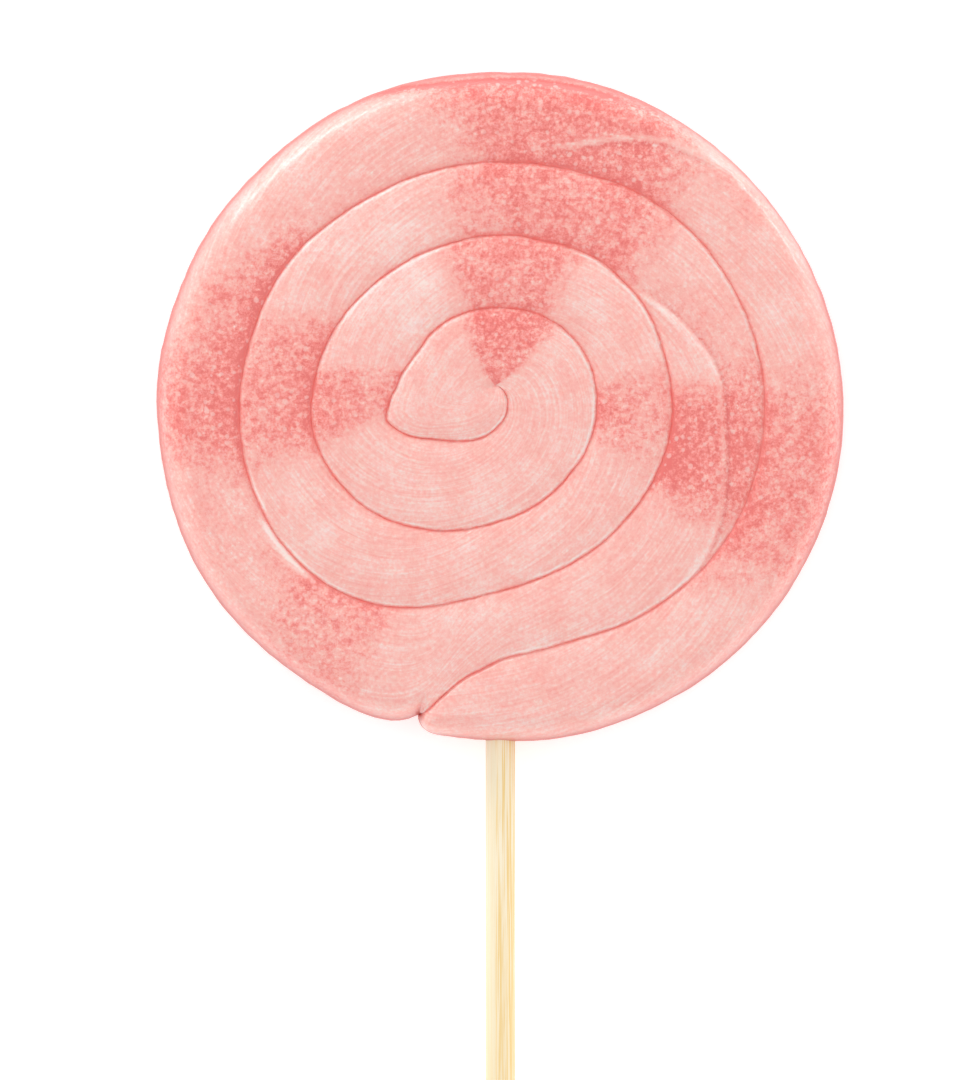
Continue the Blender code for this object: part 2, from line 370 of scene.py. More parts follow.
# %% One helper for all node trees
def add_node(tree, kind, *values, **settings):
    """Adds a node. Values fill its inputs in order, or by name in a dict, and nodes among them are linked.

    A kind in capitals, such as ADD or POWER, is a math node that does this operation.
    """
    if kind.isupper():
        settings["operation"] = kind
        kind = "ShaderNodeMath"
    node = tree.nodes.new(kind)
    for name, setting in settings.items():
        setattr(node, name, setting)
    inputs = [socket for socket in node.inputs if socket.enabled]
    filled = list(enumerate(values))
    if values and isinstance(values[0], dict):
        places = [socket.name for socket in inputs]
        filled = [(places.index(name), value) for name, value in values[0].items()]
    for index, value in filled:
        if isinstance(value, bpy.types.Node):
            value = next(socket for socket in value.outputs if socket.enabled)
        if isinstance(value, bpy.types.NodeSocket):
            tree.links.new(value, inputs[index])
        elif value is not None:
            inputs[index].default_value = value
    return node


# %% Sizes that the tree takes as named inputs
SHEET_INPUTS = {
    "Middle": ("NodeSocketFloat", MIDDLE),
    "Face": ("NodeSocketFloat", FACE),
    "Crown": ("NodeSocketFloat", CROWN),
    "Rows": ("NodeSocketInt", 52),
    "Side": ("NodeSocketFloat", 1.0),
    "Fold depth": ("NodeSocketFloat", 0.25 * MM),
    "Fold step": ("NodeSocketFloat", 0.3 * MM),
    "Lap step": ("NodeSocketFloat", 0.16 * MM),
    "Lip depth": ("NodeSocketFloat", 0.4 * MM),
    "Unevenness": ("NodeSocketFloat", 0.14 * MM),
    "Streak relief": ("NodeSocketFloat", 0.05 * MM),
    "Seam wobble": ("NodeSocketFloat", 0.3 * MM),
    "Seam nicks": ("NodeSocketFloat", 0.09),
    "Crease opening": ("NodeSocketFloat", 0.35),
}
print("inputs of a sheet's tree:", ", ".join(SHEET_INPUTS))

# %% [markdown]
# The tree is long, so it is built in steps, each a function of its own. A step adds its nodes and keeps
# in `rope` the ones that later steps use.


# %% Step 1: a grid, and the guide's values at each of its columns
def sample_guide(node, given, rope):
    row_points = node("ADD", given["Rows"], 1.0)
    rope.grid = node("GeometryNodeMeshGrid", 1.0, 1.0, ROPE_COLUMNS + 1, row_points)
    index = node("GeometryNodeInputIndex")
    rope.column = node("FLOOR", node("DIVIDE", index, row_points))
    rope.row = node("SUBTRACT", index, node("MULTIPLY", rope.column, row_points))
    rope.guide = {}
    for name in ("position",) + GUIDE_VALUES:
        if name == "position":
            field = node("GeometryNodeInputPosition")
        else:
            field = node("GeometryNodeInputNamedAttribute", name, data_type="FLOAT_VECTOR")
        rope.guide[name] = node("GeometryNodeSampleIndex", given["Guide"], field, rope.column,
                                data_type="FLOAT_VECTOR", domain="POINT")
    rope.parts = {name: node("ShaderNodeSeparateXYZ", value).outputs for name, value in rope.guide.items()}


# %% Step 2: the place across the rope
def place_across(node, given, rope):
    # Rows crowd towards both seams, and the last column closes in one edge
    bend = node("MULTIPLY", node("DIVIDE", rope.row, given["Rows"]), math.pi)
    spread = node("MULTIPLY_ADD", node("COSINE", bend), -0.5, 0.5)
    is_last = node("GREATER_THAN", rope.column, ROPE_COLUMNS - 0.5)
    before_last_row = node("LESS_THAN", rope.row, node("SUBTRACT", given["Rows"], 0.5))
    kept = node("SUBTRACT", 1.0, node("MULTIPLY", is_last, before_last_row))
    rope.share = node("MULTIPLY", spread, kept)
    way_in = node("ShaderNodeVectorMath", rope.guide["inner_seam"], rope.guide["position"],
                  operation="SUBTRACT")
    rope.width = node("ShaderNodeVectorMath", way_in, operation="LENGTH").outputs["Value"]
    rope.across = node("MULTIPLY", rope.share, rope.width)
    rope.left_over = node("SUBTRACT", rope.width, rope.across)
    rope.nearest = node("MINIMUM", rope.across, rope.left_over)
    part_way = node("ShaderNodeVectorMath", {"Vector": way_in, "Scale": rope.share}, operation="SCALE")
    rope.plan = node("ShaderNodeVectorMath", rope.guide["position"], part_way, operation="ADD")


# %% Step 3: rounding down to both seams
def round_down(node, given, rope):
    # x (2 - x), with x the distance over the round's width. Its root is a quarter round, as on the rim,
    # and a higher power opens the crease into a soft V.
    outer_round, inner_round, fullness = rope.parts["rounds"]
    rope.outer_crease, rope.inner_crease, _ = rope.parts["creased"]
    rises = []
    for distance, reach, creased in ((rope.across, outer_round, rope.outer_crease),
                                     (rope.left_over, inner_round, rope.inner_crease)):
        x = node("MINIMUM", node("DIVIDE", distance, reach), 1.0)
        x = node("MAXIMUM", x, 0.0)
        power = node("MULTIPLY_ADD", creased, given["Crease opening"], 0.5)
        rises.append(node("POWER", node("MULTIPLY", x, node("SUBTRACT", 2.0, x)), power))
    rope.rise = node("MULTIPLY", node("MULTIPLY", rises[0], rises[1]), fullness)


# %% Step 4: the seams' heights on this side, and the crown between them
def raise_face(node, given, rope):
    rope.is_front = node("GREATER_THAN", given["Side"], 0.0)
    seam_heights = node("ShaderNodeMix", rope.is_front, rope.guide["back_seams"],
                        rope.guide["front_seams"], data_type="VECTOR")
    seams = node("ShaderNodeSeparateXYZ", seam_heights).outputs
    rope.low = node("MULTIPLY_ADD", node("SUBTRACT", seams[1], seams[0]), rope.share, seams[0])
    from_middle = node("MULTIPLY_ADD", rope.share, 2.0, -1.0)
    arch = node("SUBTRACT", 1.0, node("MULTIPLY", from_middle, from_middle))
    rope.top = node("MULTIPLY_ADD", arch, given["Crown"], given["Face"])


# %% Step 5: the satin's painted sheen and shade
def blend_painted_sheen(node, given, rope):
    outer_tone, middle_tone, inner_tone = rope.parts["satin"]
    to_middle = node("MULTIPLY", rope.share, 2.0, use_clamp=True)
    past_middle = node("MULTIPLY_ADD", rope.share, 2.0, -1.0, use_clamp=True)
    tone = node("MULTIPLY_ADD", node("SUBTRACT", middle_tone, outer_tone), to_middle, outer_tone)
    rope.tone = node("MULTIPLY_ADD", node("SUBTRACT", inner_tone, middle_tone), past_middle, tone)


# %% Step 6: fold, lap, lip and painted glint, with their painted shade and highlights
# Each can have a groove and a step down to one side (1 inwards, -1 outwards). Painted shade makes the satin
# a little darker on that side and a painted highlight lighter on the other, and the line between them has a
# painted tone of its own: shade in the fold's and lip's grooves, a highlight along the glint.
PressLook = namedtuple("PressLook", "name groove step side line_tone light")
FOLD_WIDTH = 0.35 * MM
STEP_FADE = 3.5 * MM
STEP_BLUR = (-0.6, 0.9)
RIDGE_PLACE = 1.4
RIDGE_SHARPNESS = 0.6
PRESS_SHADE = 0.2
PRESS_HIGHLIGHT = 0.5
LAP_HIGHLIGHT = (0.9, 0.1)


def press_in(node, given, rope):
    # The painted highlight on the lap's edge is pale even in a dark sector
    lap_highlight = node("MULTIPLY_ADD", rope.tone, *LAP_HIGHLIGHT)
    looks = (
        PressLook("fold", given["Fold depth"], given["Fold step"], -1.0, 0.3, PRESS_HIGHLIGHT),
        PressLook("lap", 0.0, given["Lap step"], 1.0, 0.0, lap_highlight),
        PressLook("lip", given["Lip depth"], 0.0, 1.0, 2.2, PRESS_HIGHLIGHT),
        PressLook("burr", 0.0, 0.0, 1.0, -1.2, PRESS_HIGHLIGHT),
    )
    for look in looks:
        place, strength, _ = rope.parts[look.name]
        offset = node("MULTIPLY", node("SUBTRACT", rope.share, place), rope.width)
        beside = node("MULTIPLY", node("DIVIDE", offset, FOLD_WIDTH), look.side)
        bell = node("EXPONENT", node("MULTIPLY", node("MULTIPLY", beside, beside), -1.0))
        below = node("ShaderNodeMapRange", beside, *STEP_BLUR, 0.0, 1.0, interpolation_type="SMOOTHSTEP")
        past = node("MAXIMUM", beside, 0.0)
        lowered = node("MULTIPLY", below, node("EXPONENT", node("MULTIPLY", past, -FOLD_WIDTH / STEP_FADE)))
        ridge = node("ADD", beside, RIDGE_PLACE)
        ridge = node("EXPONENT", node("MULTIPLY", node("MULTIPLY", ridge, ridge), -RIDGE_SHARPNESS))
        # Painted shade on the lowered side and a painted highlight on the ridge beside it
        change = node("SUBTRACT", node("MULTIPLY", lowered, PRESS_SHADE), node("MULTIPLY", ridge, look.light))
        change = node("MULTIPLY_ADD", bell, look.line_tone, change)
        strength = node("MULTIPLY", strength, rope.is_front)
        rope.tone = node("MULTIPLY_ADD", change, strength, rope.tone)
        drop = node("MULTIPLY_ADD", bell, look.groove, node("MULTIPLY", lowered, look.step))
        rope.top = node("SUBTRACT", rope.top, node("MULTIPLY", drop, strength))


# %% Step 7: hand-made unevenness and the relief of the pulled fibres, both only ever inwards
UNEVEN_SPACING = 9.0 * MM
STREAK_WIDTH = 1.1 * MM
STREAK_LENGTH = 26.0 * MM
STREAK_SLANT = 0.21


def make_uneven(node, given, rope):
    rope.along = rope.parts["way"][1]
    rope.swell = node("ShaderNodeTexNoise", {"Vector": rope.plan, "Scale": 1.0 / UNEVEN_SPACING,
                                             "Detail": 2.0, "Roughness": 0.5})
    slanted = node("SUBTRACT", rope.across, node("MULTIPLY", rope.along, STREAK_SLANT))
    fibre_place = node("ShaderNodeCombineXYZ", node("DIVIDE", rope.along, STREAK_LENGTH),
                       node("DIVIDE", slanted, STREAK_WIDTH))
    streaks = node("ShaderNodeTexNoise", {"Vector": fibre_place, "Scale": 1.0, "Detail": 2.0,
                                          "Roughness": 0.6})
    top = node("SUBTRACT", rope.top, node("MULTIPLY", rope.swell, given["Unevenness"]))
    top = node("SUBTRACT", top, node("MULTIPLY", streaks, given["Streak relief"]))
    rope.height = node("MULTIPLY_ADD", node("SUBTRACT", top, rope.low), rope.rise, rope.low)


# %% Step 8: nicks deepen the seams, and a wobble keeps them from being perfectly smooth lines
WOBBLE_SPACING = 2.0 * MM
NICK_SPACING = 1.3 * MM
SEAM_REACH = 0.8 * MM


def detail_seams(node, given, rope):
    near_seam = node("EXPONENT", node("DIVIDE", rope.nearest, -SEAM_REACH))
    nick = node("ShaderNodeTexNoise", {"Vector": rope.plan, "Scale": 1.0 / NICK_SPACING, "Detail": 2.0,
                                       "Roughness": 0.6})
    nick = node("MULTIPLY", node("MULTIPLY", nick, near_seam), given["Seam nicks"])
    height = node("MULTIPLY", rope.height, node("SUBTRACT", 1.0, nick))
    z = node("MULTIPLY_ADD", height, given["Side"], given["Middle"])
    wobble = node("ShaderNodeTexNoise", {"Vector": rope.plan, "Scale": 1.0 / WOBBLE_SPACING,
                                         "Detail": 1.0})
    centred = node("ShaderNodeVectorMath", wobble.outputs["Color"], (0.5, 0.5, 0.5), operation="SUBTRACT")
    reach = node("MULTIPLY", near_seam, given["Seam wobble"])
    shift = node("ShaderNodeVectorMath", {"Vector": centred, "Scale": reach}, operation="SCALE")
    place = node("ShaderNodeVectorMath", rope.plan, shift, operation="ADD")
    flat = node("ShaderNodeSeparateXYZ", place).outputs
    rope.position = node("ShaderNodeCombineXYZ", flat[0], flat[1], z)


# %% Step 9: a painted highlight along the edge of each turn
EDGE_HIGHLIGHT = 0.42 * MM
EDGE_HIGHLIGHT_WIDTH = 0.18 * MM
EDGE_HIGHLIGHT_TONE = -0.6
EDGE_HIGHLIGHT_PATCHES = (5.0, -1.9)


def paint_edge_highlights(node, given, rope):
    # In light sectors a highlight is painted where the outer edge bends down into the crease, here and there
    from_edge = node("DIVIDE", node("SUBTRACT", rope.across, EDGE_HIGHLIGHT), EDGE_HIGHLIGHT_WIDTH)
    bell = node("EXPONENT", node("MULTIPLY", node("MULTIPLY", from_edge, from_edge), -1.0))
    bright = node("MULTIPLY_ADD", rope.swell, *EDGE_HIGHLIGHT_PATCHES, use_clamp=True)
    bright = node("MULTIPLY", bright, node("SUBTRACT", 1.0, rope.tone, use_clamp=True))
    bright = node("MULTIPLY", bright, node("MULTIPLY", rope.outer_crease, rope.is_front))
    bright = node("MULTIPLY", bright, bell)
    rope.tone = node("MULTIPLY_ADD", bright, EDGE_HIGHLIGHT_TONE, rope.tone)


# %% Step 10: what the finish needs
LINE_REACH = 0.35 * MM


def store_finish(node, given, rope):
    # The satin's painted sheen and shade, how near a crease is, for the painted shade in it, and how near it
    # is on the side where the rope turns down towards the next round, for the painted shade there, and as a
    # UV map the place along and across the rope
    outer_line = node("MULTIPLY", rope.outer_crease, node("LESS_THAN", rope.share, 0.5))
    inner_line = node("MULTIPLY", rope.inner_crease, node("GREATER_THAN", rope.share, 0.5))
    line = node("MULTIPLY", node("EXPONENT", node("DIVIDE", rope.nearest, -LINE_REACH)),
                node("MAXIMUM", outer_line, inner_line))
    shade = node("MULTIPLY", node("EXPONENT", node("DIVIDE", rope.left_over, -SEAM_REACH)),
                 rope.inner_crease)
    finish = node("ShaderNodeCombineXYZ", rope.tone, line, shade)
    shaped = node("GeometryNodeStoreNamedAttribute", rope.grid.outputs["Mesh"], None, "satin", finish,
                  data_type="FLOAT_VECTOR", domain="POINT")
    pair = node("ShaderNodeCombineXYZ", rope.along, rope.across)
    shaped = node("GeometryNodeStoreNamedAttribute", shaped, None, "fibre_point", pair,
                  data_type="FLOAT_VECTOR", domain="POINT")
    shaped = node("GeometryNodeSetPosition", {"Geometry": shaped, "Position": rope.position})
    pair = node("GeometryNodeInputNamedAttribute", "fibre_point", data_type="FLOAT_VECTOR")
    shaped = node("GeometryNodeStoreNamedAttribute", shaped, None, "fibre", pair,
                  data_type="FLOAT2", domain="CORNER")
    rope.shaped = node("GeometryNodeRemoveAttribute", {"Geometry": shaped, "Name": "fibre_point"})


# %% The tree for one face of the coil
SHEET_STEPS = (sample_guide, place_across, round_down, raise_face, blend_painted_sheen, press_in, make_uneven,
               detail_seams, paint_edge_highlights, store_finish)


def make_sheet_tree():
    tree = bpy.data.node_groups.new("rope_sheet", "GeometryNodeTree")
    tree.interface.new_socket("Guide", in_out="INPUT", socket_type="NodeSocketGeometry")
    for name, (kind, value) in SHEET_INPUTS.items():
        tree.interface.new_socket(name, in_out="INPUT", socket_type=kind).default_value = value
    tree.interface.new_socket("Sheet", in_out="OUTPUT", socket_type="NodeSocketGeometry")
    given = tree.nodes.new("NodeGroupInput").outputs
    node = partial(add_node, tree)
    rope = SimpleNamespace()
    for step in SHEET_STEPS:
        step(node, given, rope)

    # The back faces down
    flipped = node("GeometryNodeFlipFaces", rope.shaped)
    turned = node("GeometryNodeSwitch", rope.is_front, flipped, rope.shaped, input_type="GEOMETRY")
    node("NodeGroupOutput", turned)
    return tree


sheet_tree = make_sheet_tree()
print("nodes in one sheet's tree:", len(sheet_tree.nodes))

# %% [markdown]
# ## The sugar: pearly pulled sugar
#
# Pulling boiled sugar folds air into it. It turns from clear to pearly and gets fine parallel fibres,
# like satin, with a gloss where it was pressed smooth. The sheen and shade of its fibres are also painted
# into its colour as light and dark sectors. The dark sectors are grainy, with small pale air bubbles. An
# image of all this would tie the finish to one photo. Noise on the rope's own UV map runs along its fibres,
# and it also frays the edges of the sectors. The shader too is built in steps, which keep in `sugar` what
# later ones use.


# %% Colours
def linear(hex_colour):
    """An sRGB hex colour as the linear colour that shaders take."""
    channels = [int(hex_colour[i:i + 2], 16) / 255 for i in (1, 3, 5)]
    return (*(c / 12.92 if c <= 0.04045 else ((c + 0.055) / 1.055) ** 2.4 for c in channels), 1.0)


# Satin from its palest sheen to its deepest shade, and where each stands on a scale from 0 to 1
SATIN = ((0.0, "#FFE2DC"), (0.3, "#FFBBB1"), (0.65, "#F9938B"), (1.0, "#EC726C"))
# Painted shades of deeper red for the creases and the rim
CREASE_SHADE_RED = "#FF9088"
RIM_SHADE_RED = "#D0605A"
BUBBLE = "#FFE0D8"
print("satin's colours:", ", ".join(colour for _, colour in SATIN))

# %% Sugar step 1: noises for fibres, grain, clouds and frayed edges, at their real sizes
FIBRE_WIDTH = 0.4 * MM
FIBRE_LENGTH = 12.0 * MM
GRAIN = 0.55 * MM
CLOUD_SPACING = 5.0 * MM
FRAY_SPACING = 1.4 * MM


def lay_noises(node, sugar):
    sugar.place = node("ShaderNodeTexCoord").outputs["Object"]
    fibre = node("ShaderNodeSeparateXYZ", node("ShaderNodeUVMap", uv_map="fibre")).outputs
    # The painted sheen and shade worked out on the coil: the sectors' darkness, the crease line and the
    # shade beside it
    finish = node("ShaderNodeAttribute", attribute_name="satin").outputs["Vector"]
    sugar.dark, sugar.line, sugar.shade = node("ShaderNodeSeparateXYZ", finish).outputs

    # The fibres are streaks that slant a little inwards along the rope
    slanted = node("SUBTRACT", fibre[1], node("MULTIPLY", fibre[0], STREAK_SLANT))
    streak_place = node("ShaderNodeCombineXYZ", node("DIVIDE", fibre[0], FIBRE_LENGTH),
                        node("DIVIDE", slanted, FIBRE_WIDTH))
    sugar.streaks = node("ShaderNodeTexNoise", {"Vector": streak_place, "Scale": 1.0, "Detail": 3.0,
                                                "Roughness": 0.65})
    sugar.grain = node("ShaderNodeTexNoise", {"Vector": sugar.place, "Scale": 1.0 / GRAIN, "Detail": 2.0,
                                              "Roughness": 0.8})
    sugar.cloud = node("ShaderNodeTexNoise", {"Vector": sugar.place, "Scale": 1.0 / CLOUD_SPACING,
                                              "Detail": 3.0, "Roughness": 0.6})
    sugar.fray = node("ShaderNodeTexNoise", {"Vector": sugar.place, "Scale": 1.0 / FRAY_SPACING,
                                             "Detail": 3.0})


# %% Sugar step 2: dark sectors, which fray where they are neither light nor dark
ZONE_FRAY = 3.0
FRAY_PEAK = 1.15


def fray_sectors(node, sugar):
    within = node("ADD", sugar.dark, 0.0, use_clamp=True)
    unsure = node("MULTIPLY", within, node("SUBTRACT", FRAY_PEAK, within))
    ragged = node("SUBTRACT", node("ADD", sugar.fray, sugar.streaks), 1.0)
    sugar.dark = node("MULTIPLY_ADD", node("MULTIPLY", unsure, ragged), ZONE_FRAY, sugar.dark)
    sugar.depth = node("ADD", sugar.dark, 0.0, use_clamp=True)


# %% Sugar step 3: one tone from 0, pale sheen, to 1, deep shade
LIGHT_TONE = 0.27
DARK_TONE = 0.46
SHADE_TONE = 0.14
DEEP_SHADE_TONE = 0.25
STREAK_TONE = -0.6
CLOUD_TONE = 0.4
FRAY_TONE = 0.7
GRAIN_TONE = 0.6
DEEP_GRAIN_TONE = 1.5


def colour_satin(node, sugar):
    # The sectors' darkness and the shade beside each crease are painted sheen and shade
    tone = node("MULTIPLY_ADD", sugar.dark, DARK_TONE, LIGHT_TONE)
    shade_tone = node("MULTIPLY_ADD", sugar.depth, DEEP_SHADE_TONE, SHADE_TONE)
    tone = node("MULTIPLY_ADD", sugar.shade, shade_tone, tone)
    fray_tone = node("MULTIPLY", sugar.depth, FRAY_TONE)
    grain_tone = node("MULTIPLY_ADD", sugar.depth, DEEP_GRAIN_TONE, GRAIN_TONE)
    for noise_field, strength in ((sugar.streaks, STREAK_TONE), (sugar.cloud, CLOUD_TONE),
                                  (sugar.fray, fray_tone), (sugar.grain, grain_tone)):
        tone = node("MULTIPLY_ADD", node("SUBTRACT", noise_field, 0.5), strength, tone)
    sugar.colour = node("ShaderNodeValToRGB", tone)
    stops = sugar.colour.color_ramp.elements
    for position, colour in SATIN[1:-1]:
        stops.new(position)
    for stop, (position, colour) in zip(stops, SATIN):
        stop.position = position
        stop.color = linear(colour)


# %% Sugar step 4: pale air bubbles, few in the light sectors and many in the dark ones
BUBBLE_SPACING = 0.95 * MM
BUBBLE_SHAKE = 0.5 * MM
BUBBLE_SIZES = (0.5, -0.12)
BUBBLE_EDGE = (-0.1, 0.12)
BUBBLE_STRENGTH = 0.08
DEEP_BUBBLE_STRENGTH = 0.35


def add_bubbles(node, sugar):
    shaken = node("ShaderNodeVectorMath", {"Vector": sugar.fray.outputs["Color"], "Scale": BUBBLE_SHAKE},
                  operation="SCALE")
    shaken = node("ShaderNodeVectorMath", sugar.place, shaken, operation="ADD")
    bubbles = node("ShaderNodeTexVoronoi", {"Vector": shaken, "Scale": 1.0 / BUBBLE_SPACING})
    picked = node("ShaderNodeSeparateColor", bubbles.outputs["Color"]).outputs["Red"]
    size = node("MULTIPLY_ADD", picked, *BUBBLE_SIZES)
    spot = node("ShaderNodeMapRange", node("SUBTRACT", bubbles.outputs["Distance"], size),
                *BUBBLE_EDGE, 1.0, 0.0, interpolation_type="SMOOTHSTEP")
    strength = node("MULTIPLY_ADD", sugar.depth, DEEP_BUBBLE_STRENGTH, BUBBLE_STRENGTH)
    spot = node("MULTIPLY", spot, strength)
    sugar.colour = node("ShaderNodeMix", spot, sugar.colour, linear(BUBBLE), data_type="RGBA")


# %% Sugar step 5: painted shade, a deeper red, in the creases and round the rim
RIM_SHADE_FROM = MIDDLE + 4.4 * MM
RIM_SHADE_FULL = MIDDLE + 1.9 * MM
RIM_SHADE_CURVE = 1.45
RIM_SHADE_SHARE = 0.9
CREASE_SHADE_REACH = (0.35, 0.9)
CREASE_SHADE_SHARE = 0.8
CREASE_SHADE_PATCHES = (1.5, -0.55)


def paint_crease_and_rim_shade(node, sugar):
    # Painted shade in the creases, patchy with grain and cloud
    deep = node("ShaderNodeMapRange", sugar.line, *CREASE_SHADE_REACH, 0.0, CREASE_SHADE_SHARE)
    patchy = node("MULTIPLY_ADD", node("ADD", sugar.grain, sugar.cloud), *CREASE_SHADE_PATCHES)
    deep = node("MULTIPLY", deep, patchy, use_clamp=True)
    sugar.colour = node("ShaderNodeMix", deep, sugar.colour, linear(CREASE_SHADE_RED), data_type="RGBA")
    # Painted shade lower on the rim, full below 1.9 mm over the middle and so on the back too; the same mask
    # lowers the gloss
    height = node("ShaderNodeSeparateXYZ", sugar.place).outputs["Z"]
    rim = node("ShaderNodeMapRange", height, RIM_SHADE_FULL, RIM_SHADE_FROM, 1.0, 0.0)
    sugar.rim = node("POWER", rim, RIM_SHADE_CURVE)
    share = node("MULTIPLY", sugar.rim, RIM_SHADE_SHARE)
    sugar.colour = node("ShaderNodeMix", share, sugar.colour, linear(RIM_SHADE_RED), data_type="RGBA")


# %% The pulled sugar's shader, with a fine relief of fibres and grain
SUGAR_STEPS = (lay_noises, fray_sectors, colour_satin, add_bubbles, paint_crease_and_rim_shade)
LIGHT_RELIEF = 0.4
DARK_RELIEF = 1.0


def new_material(name):
    """An empty material and its node tree."""
    material = bpy.data.materials.new(name)
    material.use_nodes = True
    material.node_tree.nodes.clear()
    return material, material.node_tree


def make_pulled_sugar():
    material, tree = new_material("pulled_sugar")
    node = partial(add_node, tree)
    sugar = SimpleNamespace()
    for step in SUGAR_STEPS:
        step(node, sugar)
    grain_relief = node("MULTIPLY_ADD", sugar.depth, DARK_RELIEF, LIGHT_RELIEF)
    relief = node("MULTIPLY_ADD", sugar.grain, grain_relief, sugar.streaks)
    bump = node("ShaderNodeBump", {"Height": relief, "Strength": 0.4, "Distance": 0.1 * MM})
    shader = node("ShaderNodeBsdfPrincipled", {
        "Base Color": sugar.colour,
        "Normal": bump,
        "Roughness": 0.42,
        "IOR": 1.5,
        "Subsurface Weight": 0.5,
        "Subsurface Radius": (1.0, 0.3, 0.22),
        "Subsurface Scale": 1.5 * MM,
        "Specular IOR Level": node("MULTIPLY_ADD", sugar.rim, -0.3, 0.5),
        "Coat Weight": node("MULTIPLY_ADD", sugar.rim, -0.6, 0.8),
        "Coat Roughness": 0.2,
        "Coat Normal": bump,
    })
    node("ShaderNodeOutputMaterial", shader)
    return material


pulled_sugar = make_pulled_sugar()
print("nodes in the sugar's shader:", len(pulled_sugar.node_tree.nodes))


# %% Both faces of the coil, welded into one closed piece
FRONT_ROWS = 52
BACK_ROWS = 22
WELD_REACH = 0.001 * MM


def make_candy_tree(material):
    tree = bpy.data.node_groups.new("coiled_rope", "GeometryNodeTree")
    tree.interface.new_socket("Guide", in_out="INPUT", socket_type="NodeSocketGeometry")
    for name, (kind, value) in SHEET_INPUTS.items():
        if name not in ("Rows", "Side"):
            tree.interface.new_socket(name, in_out="INPUT", socket_type=kind).default_value = value
    for name, rows in (("Front rows", FRONT_ROWS), ("Back rows", BACK_ROWS)):
        tree.interface.new_socket(name, in_out="INPUT", socket_type="NodeSocketInt").default_value = rows
    tree.interface.new_socket("Candy", in_out="OUTPUT", socket_type="NodeSocketGeometry")
    given = tree.nodes.new("NodeGroupInput").outputs
    node = partial(add_node, tree)

    sheets = []
    for side, rows in ((1.0, given["Front rows"]), (-1.0, given["Back rows"])):
        values = {name: given[name] for name in ("Guide",) + tuple(SHEET_INPUTS) if name in given}
        values.update({"Side": side, "Rows": rows})
        if side < 0.0:
            # The back has no crown, because it was pressed on a flat surface
            values.update({"Crown": 0.0, "Face": node("ADD", given["Face"], given["Crown"])})
        sheets.append(node("GeometryNodeGroup", values, node_tree=sheet_tree))
    joined = node("GeometryNodeJoinGeometry", sheets[0])
    tree.links.new(sheets[1].outputs[0], joined.inputs[0])
    welded = node("GeometryNodeMergeByDistance", {"Geometry": joined, "Distance": WELD_REACH})
    smooth = node("GeometryNodeSetShadeSmooth", welded)
    real = node("GeometryNodeRealizeInstances", smooth)
    finished = node("GeometryNodeSetMaterial", {"Geometry": real, "Material": material})
    node("NodeGroupOutput", finished)
    return tree


candy_tree = make_candy_tree(pulled_sugar)
print("nodes in the coil's tree:", len(candy_tree.nodes))


# %% From guide to plain mesh
def shape_by_nodes(piece, tree, values):
    """Runs the tree on the piece with these inputs, and keeps the result as the piece's plain mesh."""
    modifier = piece.modifiers.new(tree.name, "NODES")
    modifier.node_group = tree
    for item in tree.interface.items_tree:
        if item.in_out == "INPUT" and item.name in values:
            modifier[item.identifier] = values[item.name]
    depsgraph = bpy.context.evaluated_depsgraph_get()
    mesh = bpy.data.meshes.new_from_object(piece.evaluated_get(depsgraph))
    piece.modifiers.clear()
    old = piece.data
    piece.data = mesh
    bpy.data.meshes.remove(old)
    mesh.name = piece.name


shape_by_nodes(candy, candy_tree, {"Front rows": FRONT_ROWS, "Back rows": BACK_ROWS})
candy_points = [vertex.co for vertex in candy.data.vertices]
print("candy:", len(candy.data.polygons), "faces; height in mm from",
      round(min(p.z for p in candy_points) / MM, 2), "to", round(max(p.z for p in candy_points) / MM, 2))

# %% [markdown]
# ## The stick: turned bamboo
#
# A lollipop's stick is a strip of bamboo turned round. Its fibres run lengthwise as fine golden lines,
# and its left side is paler, with fewer of them. A cylinder with a wood picture would do from far
# away. Here rings of points along the stick follow the fibres' relief, and the colour comes from noise
# that is stretched along the stick, so the cut end shows the fibres end on, as dots.

# %% The stick's shape
STICK_RADIUS = (STICK_HIGH.x - STICK_LOW.x) / 2
STICK_SIDES = 96
STICK_STATIONS = 90
STICK_EDGE = 0.35 * MM
EDGE_RINGS = 5
END_RINGS = 6
FIBRE_RELIEF = 0.03 * MM
STICK_FIBRE_WIDTH = 0.35 * MM
STICK_FIBRE_LENGTH = 18.0 * MM


def stick_rings():
    """Distance along the stick and radius of each ring, from the middle of one end to the other's."""
    end = []
    for i in range(1, END_RINGS):
        end.append((0.0, (STICK_RADIUS - STICK_EDGE) * i / END_RINGS))
    for i in range(EDGE_RINGS + 1):
        bend = math.pi / 2 * i / EDGE_RINGS
        end.append((STICK_EDGE * (1.0 - math.cos(bend)), STICK_RADIUS - STICK_EDGE * (1.0 - math.sin(bend))))
    length = STICK_HIGH.y - STICK_LOW.y
    run = length - 2 * STICK_EDGE
    shaft = [(STICK_EDGE + run * i / STICK_STATIONS, STICK_RADIUS) for i in range(1, STICK_STATIONS)]
    return end + shaft + [(length - along, radius) for along, radius in reversed(end)]


def fibre_depth(x, y, z):
    """How far the fibres' relief takes a point inwards."""
    spot = Vector((x / STICK_FIBRE_WIDTH, y / STICK_FIBRE_LENGTH, z / STICK_FIBRE_WIDTH))
    return FIBRE_RELIEF * (0.5 + 0.5 * noise.noise(spot))


